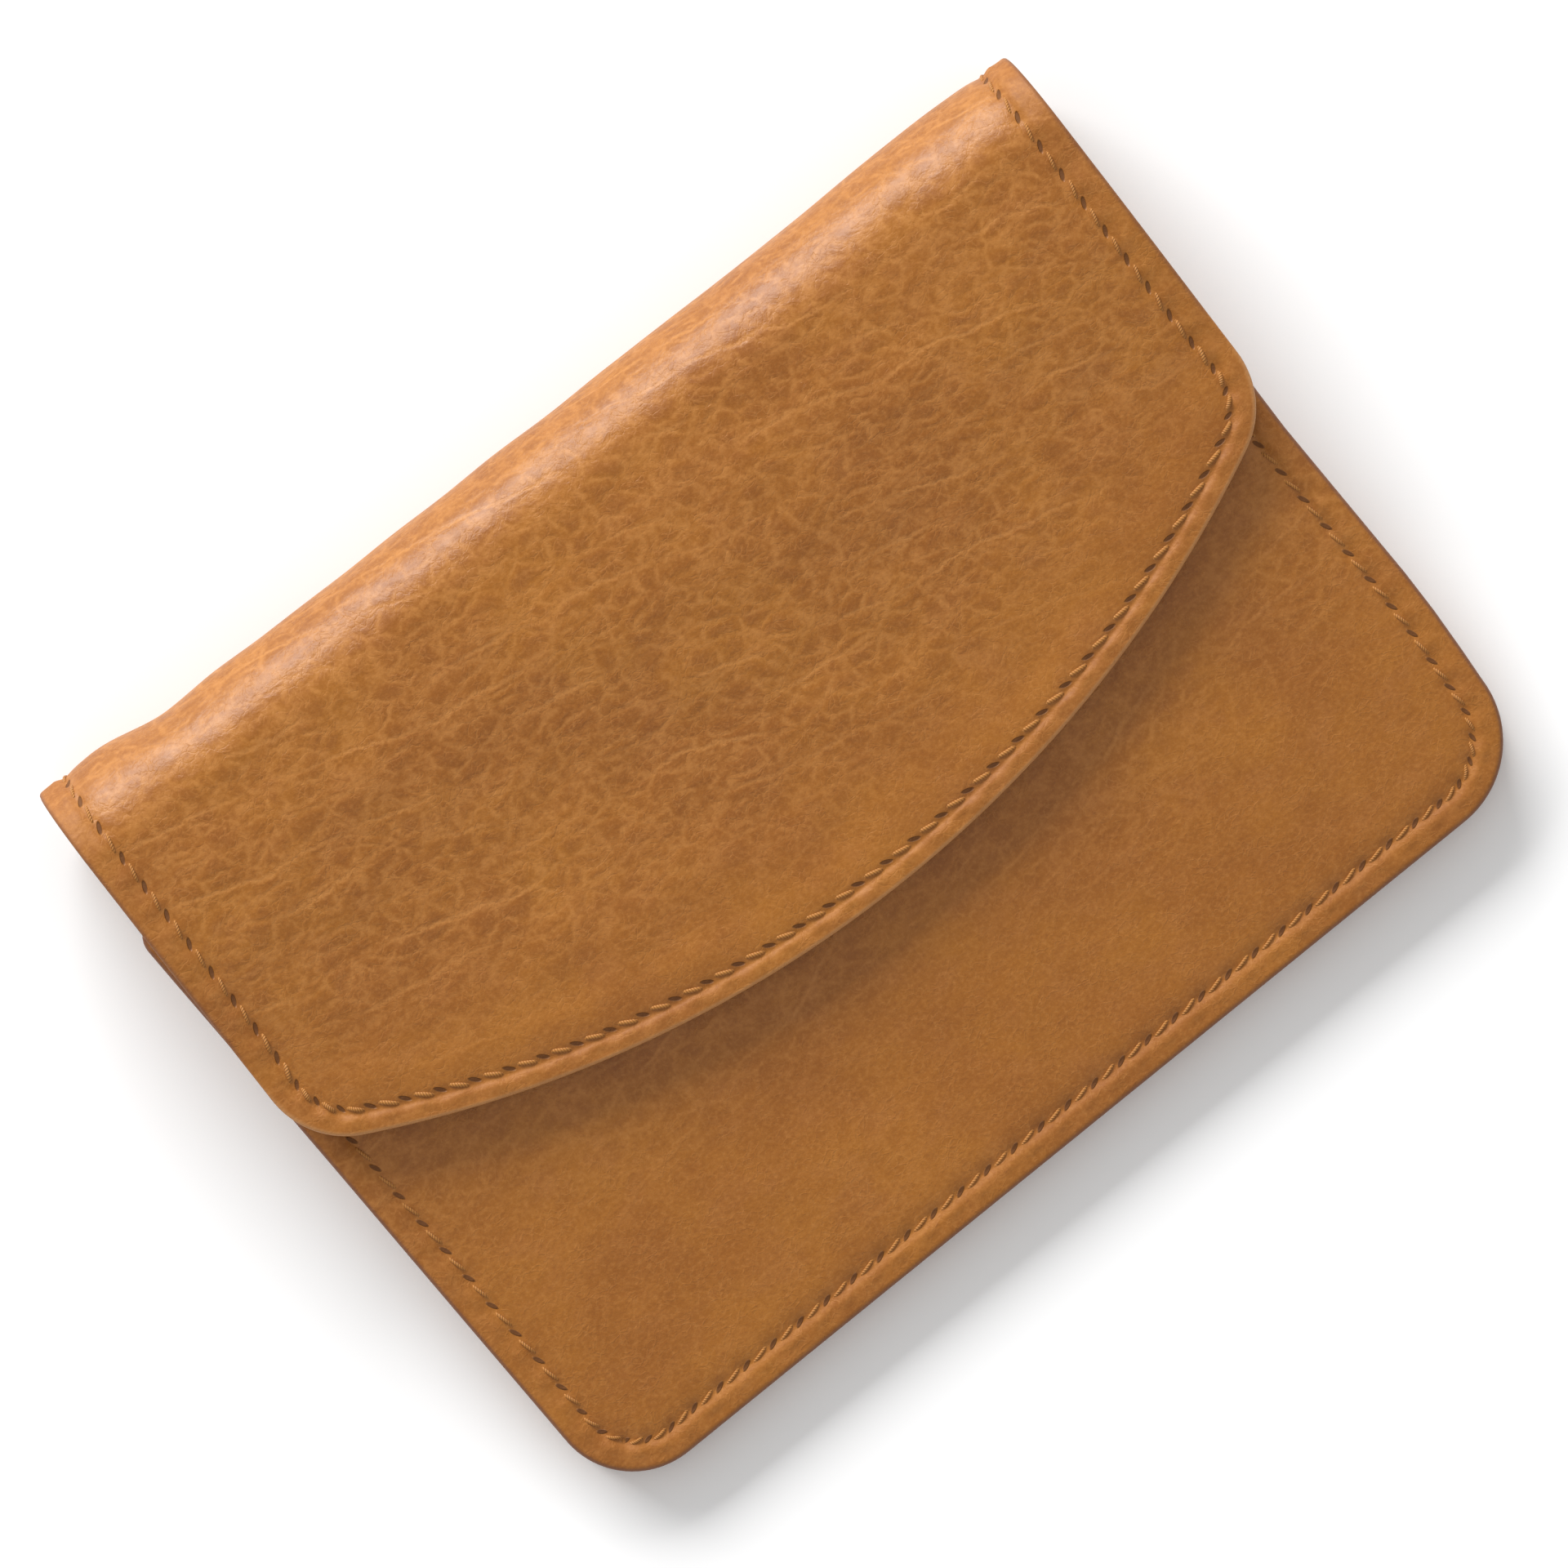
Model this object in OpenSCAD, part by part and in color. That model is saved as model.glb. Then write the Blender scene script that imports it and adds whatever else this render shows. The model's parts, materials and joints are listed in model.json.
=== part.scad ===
// Card holder with a curved flap that folds over the front and is held by hidden magnets.
// It lies on its back: X runs along the fold, +Y towards the fold and +Z up through the flap.
// The origin is on the underside, at the middle of the whole outline.

/* [Body] */
// Width of the front panel at its mouth
body_w = 105; // [100:0.5:115]
// Height from the bottom edge to the outside of the fold
body_h = 78.3; // [76:0.1:84]
// How far each side draws in towards the bottom
side_taper = 1.2; // [0:0.1:2]
// Radius of the bottom left corner
corner_left = 7.5; // [6:0.5:10]
// Radius of the bottom right corner
corner_right = 9.5; // [6:0.5:12]
// Distance from the outside of the fold to the mouth of the front panel
mouth_drop = 14; // [13:0.5:16]
// How far the back and the flap stand in from the front panel's sides
flap_side_inset = 0.3; // [0.1:0.1:0.6]

/* [Leather] */
// Thickness of the outer leather
leather_t = 1.2; // [1.1:0.1:1.4]
// Thickness of the lining
lining_t = 0.8; // [0.7:0.1:0.9]
// Thickness of the filler sheets in the flap and the front panel
filler_t = 0.4; // [0.3:0.1:0.4]
// Thickness of each card pocket
pocket_t = 0.6; // [0.5:0.1:0.6]
// Thickness of the folded side gussets
gusset_t = 0.5; // [0.4:0.05:0.5]

/* [Fold and flap] */
// Outer radius of the fold
fold_r = 7.5; // [7.3:0.1:8]
// Distance from the outside of the fold to the tip of the flap
flap_drop = 51.1; // [48:0.1:53]
// Radius of the flap's long curved edge
flap_arc_r = 110; // [100:1:130]
// Radius of the flap's two corners
flap_corner_r = 8; // [7:0.5:10]
// Space between the closed flap and the front panel
flap_gap = 0.3; // [0.3:0.05:0.4]
// Space between neighbouring strips of the fold
hinge_gap = 0.16; // [0.1:0.02:0.2]

/* [Seams] */
// Distance from an edge to the middle of its seam
seam_inset = 2.6; // [2.4:0.1:3]
// Width of the thread
thread_w = 0.6; // [0.5:0.05:0.7]
// Depth that the thread is sunk into the leather
thread_t = 0.25; // [0.2:0.05:0.3]

/* [Card pockets] */
// Width of both card pockets
pocket_w = 90.4; // [89:0.2:90.6]
// Distance from the bottom edge to the foot of the rear pocket
rear_pocket_foot = 5.6; // [5.5:0.1:6]
// Distance from the bottom edge to the mouth of the rear pocket
rear_pocket_mouth = 53; // [50:0.5:54]
// Distance from the bottom edge to the foot of the front pocket
front_pocket_foot = 11; // [10.8:0.1:12]
// Distance from the bottom edge to the mouth of the front pocket
front_pocket_mouth = 43; // [38:0.5:46]
// Radius of the pockets' lower corners
pocket_corner_r = 5; // [3:0.5:6]

/* [Magnets] */
// Diameter of each magnet
magnet_d = 10; // [8:0.5:12]
// Thickness of each magnet
magnet_t = 1; // [0.9:0.05:1]
// Distance from the tip of the flap to the middle of its magnet
magnet_from_tip = 12; // [11:0.5:15]

/* [Hidden] */

$fn = 72;
cut = 1; // how far a cutting shape runs past the face that it cuts
side_room = 0.05; // room on each side of a thread or magnet in its recess
tan_leather = "#A86C32";
lining_leather = "#B98A5A";
filler_board = "#C9B79A";
thread_tan = "#9A6A34";
magnet_steel = "#B8BABC";

// Stacks of layers
back_stack = leather_t + lining_t;
front_stack = lining_t + leather_t;
flap_under = front_stack + flap_gap;
flap_stack = flap_under + lining_t + leather_t;

// Outlines
front_half = body_w / 2;
back_half = front_half - flap_side_inset;
filler_inset = seam_inset + 2;
arc_steps = 12;
flap_arc_steps = 32;

// The fold is a round tube of leather whose middle line lies at this place, and it turns the
// leather from the flat back to the flap, which slopes down onto the front panel.
fold_y = body_h / 2 - fold_r;
fold_run = body_h - fold_r;
fold_rise = fold_r - back_stack;
slope = asin((fold_r - flap_stack) / norm([fold_run, fold_rise])) + atan2(fold_rise, fold_run);
fold_turn = 180 + slope;
fold_foot_v = fold_run * cos(slope) + fold_rise * sin(slope);

// Four hinges share the turn. Each lies a little outside the leather's neutral line, so that the
// leather keeps its length both folded and laid open.
hinges = 4;
hinge_turn = fold_turn / hinges;
neutral_r = fold_r - leather_t / 2;
pole_r = neutral_r * (hinge_turn / 2 * PI / 180) / sin(hinge_turn / 2);
notch_room = 0.12;
function hinge_angle(k) = (k + 0.5) * hinge_turn;

// The front panel starts where its upper edge is flush with the back's bottom edge.
front_foot_v = front_stack * tan(slope);
front_mouth_v = (body_h - mouth_drop) / cos(slope);
flap_tip_v = (body_h - flap_drop + flap_stack * sin(slope)) / cos(slope);
magnet_v = flap_tip_v + magnet_from_tip;
magnet_sink = (magnet_t - filler_t) / 2;

// The gussets are sewn along a flat border and fold inwards between the two borders.
gusset_edge_inset = 0.5;
gusset_bend_x = 49;
gusset_fold_x = 45.8;
gusset_foot_y = -body_h / 2 + 9;
gusset_mouth_y = body_h / 2 - mouth_drop - 0.6;
gusset_rings = 10;

echo(slope = slope, fold_turn = fold_turn, hinge_turn = hinge_turn);
for (k = [0:hinges - 1])
    echo(
        hinge = k,
        y = fold_y + pole_r * sin(hinge_angle(k)),
        z = fold_r - pole_r * cos(hinge_angle(k))
    );

function arc(cx, cy, r, from, to, steps = arc_steps) =
    [for (i = [0:steps]) let (a = from + (to - from) * i / steps) [cx + r * cos(a), cy + r * sin(a)]];

// The body's outline, with its bottom edge at y = 0 and its top left open for the caller's height.
function body_outline(half, top, inset = 0, foot = 0) =
    concat(
        [[-(half - inset), top]],
        arc(corner_left + side_taper - half, foot + corner_left, corner_left - inset, 180, 270),
        arc(half - side_taper - corner_right, foot + corner_right, corner_right - inset, 270, 360),
        [[half - inset, top]]
    );

// The flap's outline: two straight sides, two round corners and one long shallow arc between them.
function flap_outline(inset = 0, top = fold_foot_v) =
    let (
        arc_v = flap_tip_v + flap_arc_r,
        corner_x = back_half - flap_corner_r,
        corner_v = arc_v - sqrt(pow(flap_arc_r - flap_corner_r, 2) - pow(corner_x, 2)),
        turn = atan2(arc_v - corner_v, corner_x),
        edge = arc(0, arc_v, flap_arc_r - inset, -turn, turn - 180, flap_arc_steps)
    )
    concat(
        [[back_half - inset, top]],
        arc(corner_x, corner_v, flap_corner_r - inset, 0, -turn),
        [for (i = [1:flap_arc_steps - 1]) edge[i]],
        arc(-corner_x, corner_v, flap_corner_r - inset, turn - 180, -180),
        [[inset - back_half, top]]
    );

function pocket_outline(foot, mouth, inset = 0) =
    concat(
        [[inset - pocket_w / 2, mouth]],
        arc(pocket_corner_r - pocket_w / 2, foot + pocket_corner_r, pocket_corner_r - inset, 180, 270),
        arc(pocket_w / 2 - pocket_corner_r, foot + pocket_corner_r, pocket_corner_r - inset, 270, 360),
        [[pocket_w / 2 - inset, mouth]]
    );

// Places flat panels: y = 0 is the bottom edge, and z = 0 the underside of the back.
module on_back() {
    translate([0, -body_h / 2, 0]) children();
}

// Places panels on the sloping front: z = 0 is the underside of the front lining.
module on_front() {
    translate([0, -body_h / 2, back_stack]) rotate([slope, 0, 0]) children();
}

module layer(from, thickness) {
    translate([0, 0, from]) linear_extrude(thickness) children();
}

// Turns a profile, drawn with radius along x and width along y, about the fold's middle line.
// The angle is 0 where the fold leaves the back and grows towards the flap.
module fold_sweep(from, to) {
    translate([0, fold_y, fold_r])
        rotate([0, 90, 0])
            rotate([0, 0, from])
                rotate_extrude(angle = to - from) children();
}

// The fold's last stretch, swept back from the end of the flap's flat part.
module flap_sweep(from) {
    on_front()
        translate([0, fold_foot_v, flap_stack - fold_r])
            rotate([0, 90, 0])
                mirror([1, 0, 0])
                    rotate_extrude(angle = fold_turn - from) children();
}

// The profile of a band of leather across the whole fold.
module band_profile(inner_r, outer_r) {
    translate([inner_r, -back_half]) square([outer_r - inner_r, 2 * back_half]);
}

// The profile of the sewing at both ends of the fold.
module seam_profile(inner_r, outer_r, width) {
    for (side = [-1, 1])
        translate([inner_r, side * (back_half - seam_inset) - width / 2]) square([outer_r - inner_r, width]);
}

module fold_band(from, to, inner_r, outer_r) {
    fold_sweep(from, to) band_profile(inner_r, outer_r);
}

module fold_seam(from, to, inner_r, outer_r, width) {
    fold_sweep(from, to) seam_profile(inner_r, outer_r, width);
}

// Room on the outside of a hinge, so that its two strips don't meet as the fold opens.
module hinge_notch(k) {
    reach = fold_r + cut;
    half_width = (reach - pole_r + notch_room) * tan(hinge_turn / 2 + 1);
    translate([0, fold_y, fold_r])
        rotate([0, 90, 0])
            rotate([0, 0, hinge_angle(k)])
                linear_extrude(body_w + 2 * cut, center = true)
                    polygon([[pole_r - notch_room, 0], [reach, -half_width], [reach, half_width]]);
}

half_gap_angle = hinge_gap / 2 / neutral_r * 180 / PI;
function strip_from(k) = hinge_angle(k) + half_gap_angle;
function strip_to(k) = hinge_angle(k) - half_gap_angle;
lining_r = fold_r - leather_t;
inner_r = lining_r - lining_t;

module body_seam(half, top, width, foot = 0) {
    difference() {
        polygon(body_outline(half, top, seam_inset - width / 2, foot));
        polygon(body_outline(half, top + cut, seam_inset + width / 2, foot));
    }
}

module flap_seam(width) {
    difference() {
        polygon(flap_outline(seam_inset - width / 2));
        polygon(flap_outline(seam_inset + width / 2, fold_foot_v + cut));
    }
}

module pocket_seam(foot, mouth, width) {
    difference() {
        polygon(pocket_outline(foot, mouth, 1 - width / 2));
        polygon(pocket_outline(foot, mouth + cut, 1 + width / 2));
    }
}

module mouth_seam(width) {
    half_length = front_half - seam_inset - 2;
    translate([-half_length, front_mouth_v - seam_inset - width / 2]) square([2 * half_length, width]);
}

groove_w = thread_w + 2 * side_room;

module back_panel() {
    color(tan_leather)
        difference() {
            union() {
                on_back() layer(0, leather_t) polygon(body_outline(back_half, fold_run));
                fold_band(0, strip_to(0), lining_r, fold_r);
            }
            on_back() layer(-cut, cut + thread_t) body_seam(back_half, fold_run, groove_w);
            fold_seam(0, strip_to(0) + 1, fold_r - thread_t, fold_r + cut, groove_w);
            hinge_notch(0);
        }
}

module back_lining() {
    color(lining_leather) {
        on_back() layer(leather_t, lining_t) polygon(body_outline(back_half, fold_run));
        fold_band(0, strip_to(0), inner_r, lining_r);
    }
}

module fold_strip(k) {
    color(tan_leather)
        difference() {
            fold_band(strip_from(k), strip_to(k + 1), lining_r, fold_r);
            fold_seam(strip_from(k) - 1, strip_to(k + 1) + 1, fold_r - thread_t, fold_r + cut, groove_w);
            hinge_notch(k);
            hinge_notch(k + 1);
        }
}

module fold_strip_lining(k) {
    color(lining_leather)
        difference() {
            fold_band(strip_from(k), strip_to(k + 1), inner_r, lining_r);
            fold_seam(strip_from(k) - 1, strip_to(k + 1) + 1, inner_r - cut, inner_r + thread_t, groove_w);
        }
}

module fold_strip_stitching(k) {
    color(thread_tan) {
        difference() {
            fold_seam(strip_from(k), strip_to(k + 1), fold_r - thread_t, fold_r, thread_w);
            hinge_notch(k);
            hinge_notch(k + 1);
        }
        fold_seam(strip_from(k), strip_to(k + 1), inner_r, inner_r + thread_t, thread_w);
    }
}

module fold_lower() { fold_strip(0); }
module fold_middle() { fold_strip(1); }
module fold_upper() { fold_strip(2); }
module fold_lower_lining() { fold_strip_lining(0); }
module fold_middle_lining() { fold_strip_lining(1); }
module fold_upper_lining() { fold_strip_lining(2); }
module fold_lower_stitching() { fold_strip_stitching(0); }
module fold_middle_stitching() { fold_strip_stitching(1); }
module fold_upper_stitching() { fold_strip_stitching(2); }

module magnet_space(from, thickness, room = 0) {
    translate([0, magnet_v, from]) cylinder(d = magnet_d + 2 * room, h = thickness);
}

module flap() {
    color(tan_leather)
        difference() {
            union() {
                on_front() layer(flap_under + lining_t, leather_t) polygon(flap_outline());
                flap_sweep(strip_from(3)) band_profile(lining_r, fold_r);
            }
            on_front() {
                layer(flap_stack - thread_t, thread_t + cut) flap_seam(groove_w);
                layer(flap_under, lining_t + filler_t) polygon(flap_outline(filler_inset, fold_foot_v - 3));
                magnet_space(flap_under, lining_t + filler_t + magnet_sink, side_room);
            }
            flap_sweep(strip_from(3) - 1) seam_profile(fold_r - thread_t, fold_r + cut, groove_w);
            hinge_notch(3);
        }
}

module flap_lining() {
    color(lining_leather)
        difference() {
            union() {
                on_front() layer(flap_under, lining_t) polygon(flap_outline());
                flap_sweep(strip_from(3)) band_profile(inner_r, lining_r);
            }
            on_front() {
                layer(flap_under - cut, thread_t + cut) flap_seam(groove_w);
                magnet_space(flap_under + lining_t - magnet_sink, cut, side_room);
            }
            flap_sweep(strip_from(3) - 1) seam_profile(inner_r - cut, inner_r + thread_t, groove_w);
        }
}

module flap_filler() {
    color(filler_board)
        on_front()
            difference() {
                layer(flap_under + lining_t, filler_t) polygon(flap_outline(filler_inset, fold_foot_v - 3));
                magnet_space(flap_under, flap_stack, side_room);
            }
}

module flap_magnet() {
    color(magnet_steel) on_front() magnet_space(flap_under + lining_t - magnet_sink, magnet_t);
}

module flap_stitching() {
    color(thread_tan) {
        on_front() {
            layer(flap_stack - thread_t, thread_t) flap_seam(thread_w);
            layer(flap_under, thread_t) flap_seam(thread_w);
        }
        difference() {
            flap_sweep(strip_from(3)) seam_profile(fold_r - thread_t, fold_r, thread_w);
            hinge_notch(3);
        }
        flap_sweep(strip_from(3)) seam_profile(inner_r, inner_r + thread_t, thread_w);
    }
}

module front_panel() {
    color(tan_leather)
        on_front()
            difference() {
                layer(lining_t, leather_t) polygon(body_outline(front_half, front_mouth_v, 0, front_foot_v));
                layer(front_stack - thread_t, thread_t + cut) {
                    body_seam(front_half, front_mouth_v - seam_inset, groove_w, front_foot_v);
                    mouth_seam(groove_w);
                }
                layer(0, lining_t + filler_t)
                    polygon(body_outline(front_half, front_mouth_v - filler_inset, filler_inset, front_foot_v));
                magnet_space(0, lining_t + filler_t + magnet_sink, side_room);
            }
}

module front_lining() {
    color(lining_leather)
        on_front()
            difference() {
                layer(0, lining_t) polygon(body_outline(front_half, front_mouth_v, 0, front_foot_v));
                magnet_space(lining_t - magnet_sink, cut, side_room);
            }
}

module front_filler() {
    color(filler_board)
        on_front()
            difference() {
                layer(lining_t, filler_t)
                    polygon(body_outline(front_half, front_mouth_v - filler_inset, filler_inset, front_foot_v));
                magnet_space(0, front_stack, side_room);
            }
}

module front_magnet() {
    color(magnet_steel) on_front() magnet_space(lining_t - magnet_sink, magnet_t);
}

// One cross-section of a gusset, from its outer edge on the back, in to its fold and out again.
// Its outer edge follows the back's tapered side.
function gusset_ring(y) =
    let (
        draw_in = side_taper * (fold_run - y - body_h / 2) / (fold_run - corner_left),
        edge_x = back_half - gusset_edge_inset - draw_in,
        low = back_stack,
        high = back_stack + (y + body_h / 2) * tan(slope),
        middle = (low + high) / 2,
        lean = atan2(middle - low, gusset_bend_x - gusset_fold_x),
        bend = gusset_t * tan(lean / 2),
        inside_fold_x = min(gusset_fold_x + gusset_t / sin(lean), gusset_bend_x)
    )
    [
        [edge_x, y, low],
        [gusset_bend_x, y, low],
        [gusset_fold_x, y, middle],
        [gusset_bend_x, y, high],
        [edge_x, y, high],
        [edge_x, y, high - gusset_t],
        [gusset_bend_x + bend, y, high - gusset_t],
        [inside_fold_x, y, middle],
        [gusset_bend_x + bend, y, low + gusset_t],
        [edge_x, y, low + gusset_t]
    ];

module gusset() {
    rings = [
        for (i = [0:gusset_rings])
            gusset_ring(gusset_foot_y + (gusset_mouth_y - gusset_foot_y) * i / gusset_rings)
    ];
    size = len(rings[0]);
    sides = [
        for (i = [0:gusset_rings - 1], j = [0:size - 1])
            let (a = i * size + j, b = i * size + (j + 1) % size)
            each [[a, a + size, b], [b, a + size, b + size]]
    ];
    // The end faces are cut into quads that follow the folded strip.
    quads = [[0, 1, 8, 9], [1, 2, 7, 8], [2, 3, 6, 7], [3, 4, 5, 6]];
    last = gusset_rings * size;
    ends = [
        for (q = quads)
            each [[q[0], q[1], q[2]], [q[0], q[2], q[3]], [last + q[2], last + q[1], last + q[0]],
                [last + q[3], last + q[2], last + q[0]]]
    ];
    polyhedron(points = [for (ring = rings) each ring], faces = concat(sides, ends));
}

module gusset_right() {
    color(tan_leather) gusset();
}

module gusset_left() {
    color(tan_leather) mirror([1, 0, 0]) gusset();
}

module card_pocket_rear() {
    color(lining_leather)
        on_back()
            difference() {
                layer(back_stack, pocket_t) polygon(pocket_outline(rear_pocket_foot, rear_pocket_mouth));
                layer(back_stack + pocket_t - thread_t, thread_t + cut)
                    pocket_seam(rear_pocket_foot, rear_pocket_mouth + cut, groove_w);
            }
}

module card_pocket_front() {
    color(lining_leather)
        on_back()
            difference() {
                layer(back_stack + pocket_t, pocket_t)
                    polygon(pocket_outline(front_pocket_foot, front_pocket_mouth));
                layer(back_stack + 2 * pocket_t - thread_t, thread_t + cut)
                    pocket_seam(front_pocket_foot, front_pocket_mouth + cut, groove_w);
            }
}

module pocket_stitching() {
    color(thread_tan)
        on_back() {
            layer(back_stack + pocket_t - thread_t, thread_t)
                pocket_seam(rear_pocket_foot, rear_pocket_mouth, thread_w);
            layer(back_stack + 2 * pocket_t - thread_t, thread_t)
                pocket_seam(front_pocket_foot, front_pocket_mouth, thread_w);
        }
}

module front_stitching() {
    color(thread_tan)
        on_front()
            layer(front_stack - thread_t, thread_t)
                body_seam(front_half, front_mouth_v - seam_inset, thread_w, front_foot_v);
}

module mouth_stitching() {
    color(thread_tan) on_front() layer(front_stack - thread_t, thread_t) mouth_seam(thread_w);
}

module back_stitching() {
    color(thread_tan) {
        on_back() layer(side_room, thread_t - side_room) body_seam(back_half, fold_run, thread_w);
        difference() {
            fold_seam(0, strip_to(0), fold_r - thread_t, fold_r - side_room, thread_w);
            hinge_notch(0);
        }
    }
}

back_panel();
fold_lower();
fold_middle();
fold_upper();
flap();
back_lining();
fold_lower_lining();
fold_middle_lining();
fold_upper_lining();
flap_lining();
front_panel();
front_lining();
gusset_left();
gusset_right();
card_pocket_rear();
card_pocket_front();
flap_filler();
front_filler();
flap_magnet();
front_magnet();
front_stitching();
back_stitching();
fold_lower_stitching();
fold_middle_stitching();
fold_upper_stitching();
flap_stitching();
mouth_stitching();
pocket_stitching();
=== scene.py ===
"""Looks for the leather card holder: its leather, lining, sewing, floor, light and camera.

Lengths here are in millimetres until a mesh is written, which is in metres. A leather sheet is
drawn flat, in x along the fold and s up the sheet, and is then laid on its path in 3-D.
"""

import json
import math

import bmesh
import bpy
import numpy as np
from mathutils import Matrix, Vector


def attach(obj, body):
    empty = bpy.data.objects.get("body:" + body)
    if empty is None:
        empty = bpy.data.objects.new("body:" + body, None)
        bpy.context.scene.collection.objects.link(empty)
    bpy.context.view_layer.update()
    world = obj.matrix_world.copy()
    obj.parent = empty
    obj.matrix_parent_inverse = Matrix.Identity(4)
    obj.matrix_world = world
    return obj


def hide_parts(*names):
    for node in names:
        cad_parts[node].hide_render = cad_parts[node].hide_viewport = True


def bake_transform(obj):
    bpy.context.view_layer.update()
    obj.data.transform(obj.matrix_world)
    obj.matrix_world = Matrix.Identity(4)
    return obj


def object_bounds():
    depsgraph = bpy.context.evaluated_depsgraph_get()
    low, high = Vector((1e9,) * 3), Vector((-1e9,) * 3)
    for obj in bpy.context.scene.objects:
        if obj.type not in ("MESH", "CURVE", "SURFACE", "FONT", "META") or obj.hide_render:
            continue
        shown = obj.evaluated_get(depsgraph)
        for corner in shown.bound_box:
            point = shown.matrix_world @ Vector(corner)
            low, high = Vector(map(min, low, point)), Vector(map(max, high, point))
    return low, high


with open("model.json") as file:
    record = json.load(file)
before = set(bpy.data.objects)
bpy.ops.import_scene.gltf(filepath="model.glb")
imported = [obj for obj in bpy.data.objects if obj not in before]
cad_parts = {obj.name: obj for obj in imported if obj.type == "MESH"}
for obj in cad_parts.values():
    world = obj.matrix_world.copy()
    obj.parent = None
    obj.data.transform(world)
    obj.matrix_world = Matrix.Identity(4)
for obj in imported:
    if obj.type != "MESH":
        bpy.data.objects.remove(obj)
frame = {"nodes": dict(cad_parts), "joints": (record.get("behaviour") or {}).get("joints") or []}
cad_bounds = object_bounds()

MM = 0.001
low, high = (np.array(corner) / MM for corner in cad_bounds)

# ---------------------------------------------------------------- sizes
HEIGHT = -2 * low[1]                  # bottom edge to the outside of the fold
FOLD_R = high[2] / 2                  # outer radius of the fold
LEATHER, LINING, GAP = 1.2, 0.8, 0.3  # thicknesses, and the space under the closed flap
FILLER, FILLER_INSET = 0.4, 4.6       # the board inside the flap and the front, and its margin
BACK_STACK = LEATHER + LINING
FLAP_STACK = 2 * BACK_STACK + GAP     # front panel and flap, measured square to the front
NEUTRAL_R = FOLD_R - LEATHER / 2      # the leather keeps its length on this radius
HINGE_TURN = math.radians(frame["joints"][0]["range_deg"][1])
FOLD_TURN = HINGE_TURN * len(frame["joints"])
SLOPE = FOLD_TURN - math.pi           # how steeply the front and the flap lie
FOLD_Y = HEIGHT / 2 - FOLD_R
FOLD_RUN = HEIGHT - FOLD_R            # length of the flat back
ARC_LENGTH = NEUTRAL_R * FOLD_TURN
FLAP_START = FOLD_RUN + ARC_LENGTH    # where the flap's flat part begins, along the sheet
FOLD_FOOT_V = FOLD_RUN * math.cos(SLOPE) + (FOLD_R - BACK_STACK) * math.sin(SLOPE)

MOUTH_DROP = 14.0                     # outside of the fold to the mouth of the front panel
FLAP_DROP = 51.1                      # outside of the fold to the tip of the flap
FLAP_ARC_R = 106.0
FLAP_CORNER_R = 8.0
FLAP_TIP_V = (HEIGHT - FLAP_DROP + FLAP_STACK * math.sin(SLOPE)) / math.cos(SLOPE)
FLAP_LENGTH = FOLD_FOOT_V - FLAP_TIP_V
SHEET_END = FLAP_START + FLAP_LENGTH
MOUTH_V = (HEIGHT - MOUTH_DROP) / math.cos(SLOPE)
FRONT_FOOT_V = BACK_STACK * math.tan(SLOPE)

STITCH = 3.05                         # length of one stitch
PER_STITCH = 6                        # mesh points along one stitch
SIDE_SEAM, FLAP_SEAM = 2.7, 2.25      # edge to seam, on the body and round the flap's curve
SEAM_DEPTH, LINING_SEAM_DEPTH = 0.24, 0.12
LEATHER_ROUND, UNDER_ROUND = 0.34, 0.4  # edge radii of the leather's outer and glued faces
LINING_INSET = 0.12                   # the lining stops this far inside the leather's edge
GLUE = 0.02                           # clearance between layers, so that no two faces coincide
INSIDE = 9.0                          # the inset noted for points inside an outline's rings
THREAD_SINK = 0.2                     # the thread lies this deep where it meets the leather
THREAD_SIDES, THREAD_STEPS = 8, 8     # mesh points round a thread and steps along one stitch

# Half-widths of the body: down its left side and down its right side.
SIDE_HEIGHTS = (0, 8, 20, 40, 64, 71)
LEFT_SIDE = (49.8, 50.1, 50.6, 51.4, 52.5, 51.8)
RIGHT_SIDE = (51.7, 52.0, 52.4, 51.6, 52.3, 52.1)
FLAP_LEFT, FLAP_RIGHT = 51.8, 52.2
BOTTOM_LEFT_R, BOTTOM_RIGHT_R = 7.5, 8.8
BOTTOM_TILT = 0.024                   # the bottom edge rises this much per millimetre to the right
BOTTOM_MIDDLE = 0.65                  # and lies this far up at its middle


# ---------------------------------------------------------------- flat outlines
def side_left(s):
    return -np.interp(s, SIDE_HEIGHTS, LEFT_SIDE)


def side_right(s):
    return np.interp(s, SIDE_HEIGHTS, RIGHT_SIDE)


def arc_points(cx, cy, r, start, end, count=24):
    a = np.radians(np.linspace(start, end, count))
    return np.stack([cx + r * np.cos(a), cy + r * np.sin(a)], 1)


def bottom(x):
    return BOTTOM_MIDDLE + BOTTOM_TILT * x


def bottom_edge(inset=0.0):
    """The body's lower edge, anticlockwise from its left side to its right side."""
    left_r, right_r = BOTTOM_LEFT_R, BOTTOM_RIGHT_R
    tilt = math.degrees(math.atan(BOTTOM_TILT))
    lx = side_left(left_r) + left_r
    rx = side_right(right_r) - right_r
    return np.concatenate([
        arc_points(lx, bottom(lx) + left_r, left_r - inset, 180, 270 + tilt),
        arc_points(rx, bottom(rx) + right_r, right_r - inset, 270 + tilt, 360),
    ])


def body_sides(top, inset=0.0):
    """Points up the right side and down the left side, between the corners and top."""
    s = np.linspace(14, top, 12)
    right = np.stack([side_right(s) - inset, s], 1)
    left = np.stack([side_left(s[::-1]) + inset, s[::-1]], 1)
    return right, left


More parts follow.
